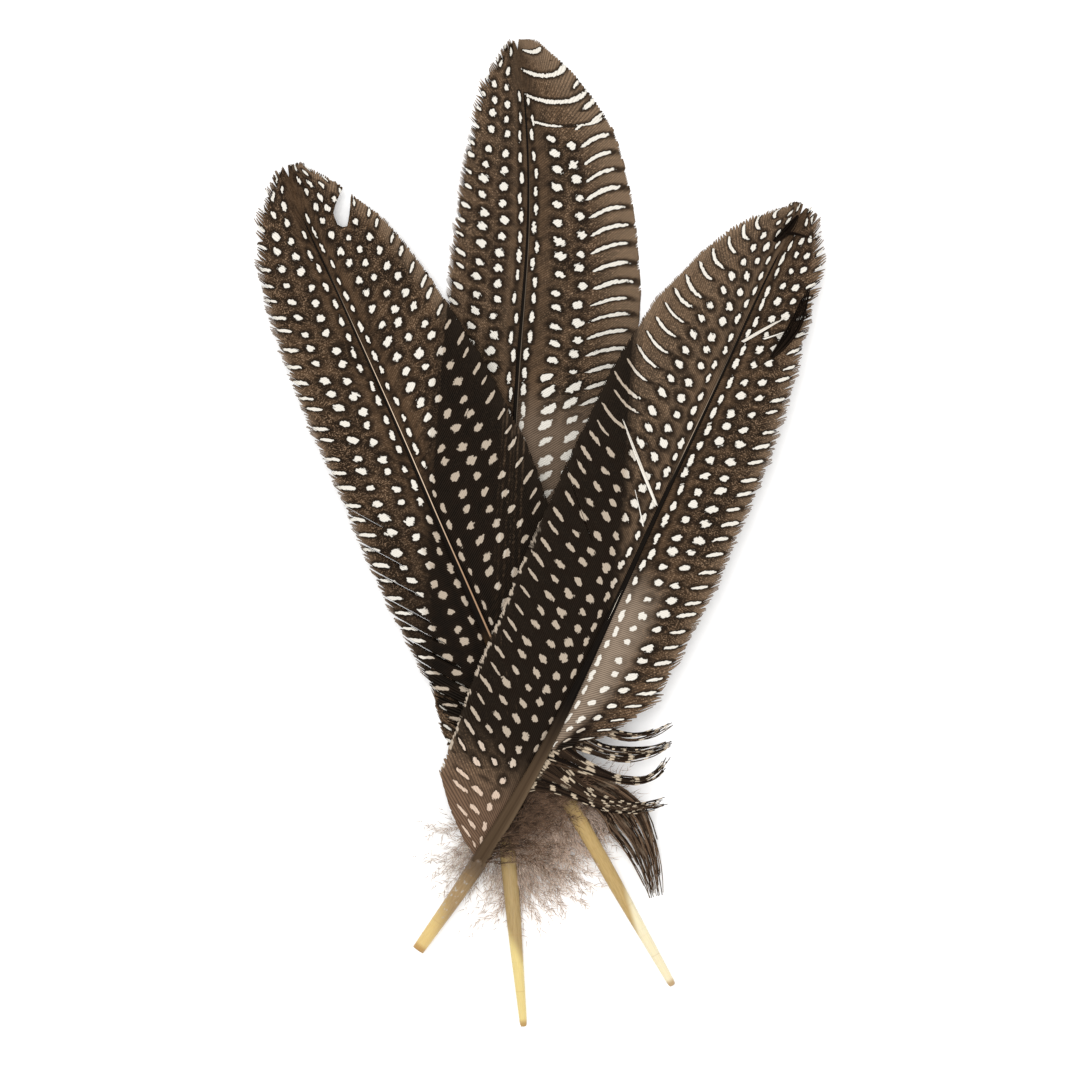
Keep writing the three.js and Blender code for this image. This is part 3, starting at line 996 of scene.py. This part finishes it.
def strands(bm, count, steps, place):
    """Thin ribbons side by side: a grid whose every second column is taken out. place gives where a
    ribbon's edge lies, from the ribbon's number, a share of its length and its side, -1 or 1."""
    laid = bm.loops.layers.uv.get("Laid") or bm.loops.layers.uv.new("Laid")
    columns = count * 2 - 1
    corners = bmesh.ops.create_grid(bm, x_segments=columns, y_segments=steps, size=0.5)["verts"]
    spare = []
    for face in {face for corner in corners for face in corner.link_faces}:
        if int((face.calc_center_median().x + 0.5) * columns) % 2:
            spare.append(face)
    bmesh.ops.delete(bm, geom=spare, context="FACES_ONLY")
    marks = {}
    for corner in corners:
        column = round((corner.co.x + 0.5) * columns)
        share = corner.co.y + 0.5
        corner.co = place(column // 2, share, 1 if column % 2 else -1)
        marks[corner] = (column // 2, share)
    for corner in corners:
        for loop in corner.link_loops:
            loop[laid].uv = marks[corner]


def spine(node, line):
    """The middle line and half widths of a frame strip, from its end by the shaft to its point."""
    edge_points = {}
    for corner in node_corners(node):
        edge_points.setdefault((round(corner.x, 1), round(corner.y, 1)), []).append(corner)
    left = [sum(stack, Vector()) / len(stack) for stack in edge_points.values()]
    here = min(left, key=lambda point: abs(line.across(point)))
    middles, halves = [], []
    while len(left) > 1:
        left.sort(key=lambda point: (point - here).length)
        pair = [left.pop(0), left.pop(0)]
        here = (pair[0] + pair[1]) / 2
        middles.append(here)
        halves.append((pair[0] - pair[1]).length / 2)
    return middles, halves


def barred_paint(name, bars, strength, barbs):
    """Dark barbs that carry light bars across the whole lock."""
    paint = Paint(name, roughness=0.75, specular=0.015)
    strand, share = paint.laid("Laid")
    waves = paint.noise(paint.join(strand * 0.25, share * 2.0), 1.0, 2.0)
    off_bar = paint.off_middle(share * bars + waves * 0.5)
    own = paint.random(paint.join(strand, 1.0))
    barred = paint.fade(off_bar, 0.09, 0.15, strength, 0.0) * paint.fade(own[0], 0.15, 0.35)
    ground = paint.mix(own[1] ** 2.0, *barbs)
    colour = paint.mix(barred, ground, CREAM)
    return paint.finish(colour, roughness=paint.fade(waves, 0.3, 0.7, 0.65, 0.85), height=waves)


def lock_mesh(line, middles, halves, lock, rng):
    """Barbs that leave the shaft side by side, draw together and then follow a frame strip."""
    side = math.copysign(1, line.across(middles[1]))
    root_at = line.length_at(middles[0])
    own = []
    for _ in range(lock.count):
        off, reach = rng.uniform(-1, 1), rng.triangular(0.6, 1.05, 0.98)
        own.append((off, reach, rng.uniform(0, math.tau), rng.uniform(-1, 1)))
    places = [i / (len(middles) - 1) for i in range(len(middles))]

    def place(strand, share, edge):
        off, reach, wave, lift = own[strand]
        at = min(share * reach, 1.0)
        run = at * (len(middles) - 1)
        i = min(int(run), len(middles) - 2)
        middle = middles[i].lerp(middles[i + 1], run - i)
        ahead = (middles[i + 1] - middles[i]).normalized()
        right = Vector((ahead.y, -ahead.x, 0))
        half = value_at(places, halves, at) * lock.widen
        spread = off * half + lock.stray * math.sin(wave + at * 5) * at + lock.shift * at
        breadth = BARB_WIDTH / 2 * (1 - 0.8 * at)
        point = middle + right * (spread + edge * breadth)
        point.z += lift * 0.15 + 0.35 * math.sin(math.pi * at) + edge * 0.03
        start = root_at - off * lock.root_spread
        root = line.bend(side * line.radius(start) * 0.5, start - edge * breadth, 0.1) / MM
        away = min(at / 0.35, 1.0)
        return root.lerp(point, 1 - (1 - away) ** 2) * MM

    bm = bmesh.new()
    strands(bm, lock.count, STRAND_STEPS, place)
    return bm


rng = random.Random(11)
for node, lock in locks.items():
    line = lines[lock.quill]
    middles, halves = spine(node, line)
    bm = lock_mesh(line, middles, halves, lock, rng)
    paint = barred_paint(node, lock.bars, lock.strength, lock.barbs)
    piece = made(f"{node}_barbs", bm, paint, line.body)
    thickened(piece, LOOSE_THICKNESS)
    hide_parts(node)


# ---- Down ------------------------------------------------------------------------------------
# At the foot of each blade the barbs have no hooks: they are limp down. Every down barb is a fine
# wavy hair with a fringe of finer hairs, and together they make a soft grey-brown tuft.
DOWN_WIDTH = 0.16
BARBULE_WIDTH = 0.1
BARBULES = 16
HAIR_THICKNESS = 0.04
# spread: the angles a tuft covers, from the tip's direction towards the vane's side. at and foot: the
# length of its middle and how far its roots lie to either side. low and high: the heights of its
# hairs. sink: how far they sink towards their ends, clear of the barrels that swing over them.
Tuft = namedtuple("Tuft", "quill side at foot spread reach low high sink count dark light")
tufts = {
    "centre_left_down": Tuft(
        "centre", -1, 43, 4, (105, 188), 19, 0.4, 4.0, 0.7, 90, (0.22, 0.15, 0.11), (0.60, 0.50, 0.43)
    ),
    "centre_right_down": Tuft(
        "centre", 1, 42, 4, (98, 190), 22, 0.4, 4.2, 0.88, 170, (0.19, 0.125, 0.085), (0.56, 0.44, 0.36)
    ),
    "left_left_down": Tuft(
        "left", -1, 48, 4, (120, 178), 16, 4.3, 5.2, 0.9, 80, (0.17, 0.11, 0.075), (0.52, 0.40, 0.32)
    ),
    "left_right_down": Tuft(
        "left", 1, 45, 4, (105, 178), 14, 1.8, 5.6, 0.5, 80, (0.12, 0.078, 0.053), (0.48, 0.37, 0.30)
    ),
    "right_right_down": Tuft(
        "right", 1, 33, 10, (22, 62), 15, 7.0, 8.4, 0.5, 110, (0.020, 0.012, 0.008), (0.16, 0.10, 0.065)
    ),
}


def down_paint(name, dark, light):
    paint = Paint(name, roughness=0.9, specular=0.03, subsurface=0.1)
    paint.shader.inputs["Subsurface Radius"].default_value = (0.8 * MM, 0.6 * MM, 0.4 * MM)
    strand, share = paint.laid("Laid")
    own = paint.random(paint.join(strand, 2.0))
    grain = paint.noise(paint.place(), 0.5, 3.0)
    pale = paint.fade(share, 0.1, 0.9, 0.0, 0.6) + own[0] * 0.4
    pale = pale + paint.fade(grain, 0.3, 0.7, -0.25, 0.25)
    colour = paint.mix(paint.math("MINIMUM", pale, 1.0), dark, light)
    # The hairs thin out to nearly white at their ends.
    white = tuple(min(value * 1.5, 0.8) for value in light)
    return paint.finish(paint.mix(paint.fade(share, 0.6, 1.0, 0.0, 0.8), colour, white), height=grain)


def down_mesh(line, tuft, rng):
    own = []
    for _ in range(tuft.count):
        own.append(dict(
            angle=math.radians(rng.uniform(*tuft.spread)),
            reach=tuft.reach * rng.triangular(0.45, 1.12, 0.9),
            curl=rng.gauss(0, 0.25),
            wave=rng.uniform(0, math.tau),
            rise=rng.random(),
            start=tuft.at + rng.uniform(-1, 1) * tuft.foot,
        ))

    def axis(hair, share):
        angle = hair["angle"] + hair["curl"] * share + 0.10 * math.sin(hair["wave"] + share * 7)
        radius = hair["reach"] * share
        across = tuft.side * (line.radius(hair["start"]) * 0.7 + radius * math.sin(angle))
        place = line.bend(across, hair["start"] + radius * math.cos(angle), 0)
        lift = tuft.low + (tuft.high - tuft.low) * hair["rise"] * (1 - tuft.sink * share)
        place.z = lift * MM
        return place

    def stem(strand, share, edge):
        hair = own[strand]
        right = right_of(axis(hair, share + 0.02) - axis(hair, share))
        return axis(hair, share) + right * edge * DOWN_WIDTH * (1 - 0.8 * share) / 2 * MM

    fringe = []
    for hair in own:
        for k in range(BARBULES):
            at = 0.15 + 0.8 * (k + rng.random()) / BARBULES
            fringe.append((hair, at, rng.choice((-1, 1)), rng.uniform(0.9, 2.6)))

    def barbule(strand, share, edge):
        hair, at, side, length = fringe[strand]
        root = axis(hair, at)
        ahead = (axis(hair, at + 0.02) - root).normalized()
        out = (ahead * 1.1 + right_of(ahead) * side * (1.0 - 0.5 * share)).normalized()
        across = Vector((out.y, -out.x, 0))
        breadth = BARBULE_WIDTH / 2 * (1 - 0.6 * share)
        lift = Vector((0, 0, 0.15 * share * side))
        return root + (out * length * share + across * edge * breadth + lift) * MM

    bm = bmesh.new()
    strands(bm, len(own), STRAND_STEPS, stem)
    strands(bm, len(fringe), 3, barbule)
    return bm


rng = random.Random(23)
for node, tuft in tufts.items():
    line = lines[tuft.quill]
    paint = down_paint(node, tuft.dark, tuft.light)
    piece = made(f"{node}_hairs", down_mesh(line, tuft, rng), paint, line.body)
    thickened(piece, HAIR_THICKNESS)
    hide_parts(node)


# ---- Stuck barbs and curled tip --------------------------------------------------------------
# On the right quill a bunch of barbs has clung together into a black, white-striped lock that lies
# over the vane, and the last barbs round the tip have dried into a small dark curl.
INK_BARBS = ((0.003, 0.002, 0.0015), (0.014, 0.009, 0.006))
WHITE_BARBS = ((0.70, 0.67, 0.61), (0.52, 0.47, 0.40))
STUCK_HEIGHT = 0.55
# root and point: millimetres across and along the quill. half: half the bunch's width. breadth: half
# a barb's width. bulge: how far the bunch bows out to the right.
Bunch = namedtuple("Bunch", "root point half breadth bulge count barbs")
bunches = {
    "right_parted_barbs": Bunch((-0.8, 104), (-14.5, 117), 0.28, 0.26, 0.0, 5, WHITE_BARBS),
    "right_next_parted_barbs": Bunch((-1.5, 99), (-6.5, 105.5), 0.1, 0.15, 0.0, 2, WHITE_BARBS),
    "right_stuck_barbs": Bunch((7.6, 141), (8.6, 157), 1.0, 0.13, 1.0, 20, INK_BARBS),
    "right_white_barbs": Bunch((1.0, 141.5), (6.8, 149.6), 0.2, 0.26, 0.0, 4, WHITE_BARBS),
    "right_next_white_barbs": Bunch((4.6, 143.8), (8.6, 147.6), 0.12, 0.2, 0.0, 3, WHITE_BARBS),
    "right_tip_curl": Bunch((-2.0, 162.8), (-0.3, 169.8), 0.7, 0.13, 0.5, 18, INK_BARBS),
    "right_tip_hook": Bunch((-1.4, 164.4), (4.4, 167.0), 0.7, 0.13, -0.8, 16, INK_BARBS),
}


def bunch_mesh(line, bunch, rng):
    own = []
    for _ in range(bunch.count):
        own.append((rng.uniform(-1, 1), rng.triangular(0.75, 1.05, 1.0), rng.random()))
    (root_d, root_s), (point_d, point_s) = bunch.root, bunch.point

    def place(strand, share, edge):
        off, reach, rise = own[strand]
        at = share * reach
        swell = math.sin(math.pi * at)
        across = root_d + (point_d - root_d) * at + off * bunch.half * (0.35 + swell) + bunch.bulge * swell
        along = root_s + (point_s - root_s) * at - bunch.bulge * 0.4 * swell
        across += edge * bunch.breadth * (1.1 - at)
        return line.bend(across, along, STUCK_HEIGHT + 0.5 * rise * swell + edge * 0.03)

    bm = bmesh.new()
    strands(bm, bunch.count, STRAND_STEPS, place)
    return bm


rng = random.Random(31)
line = lines["right"]
for name, bunch in bunches.items():
    paint = barred_paint(name, 1.0, 0.0, bunch.barbs)
    piece = made(name, bunch_mesh(line, bunch, rng), paint, line.body)
    thickened(piece, LOOSE_THICKNESS)
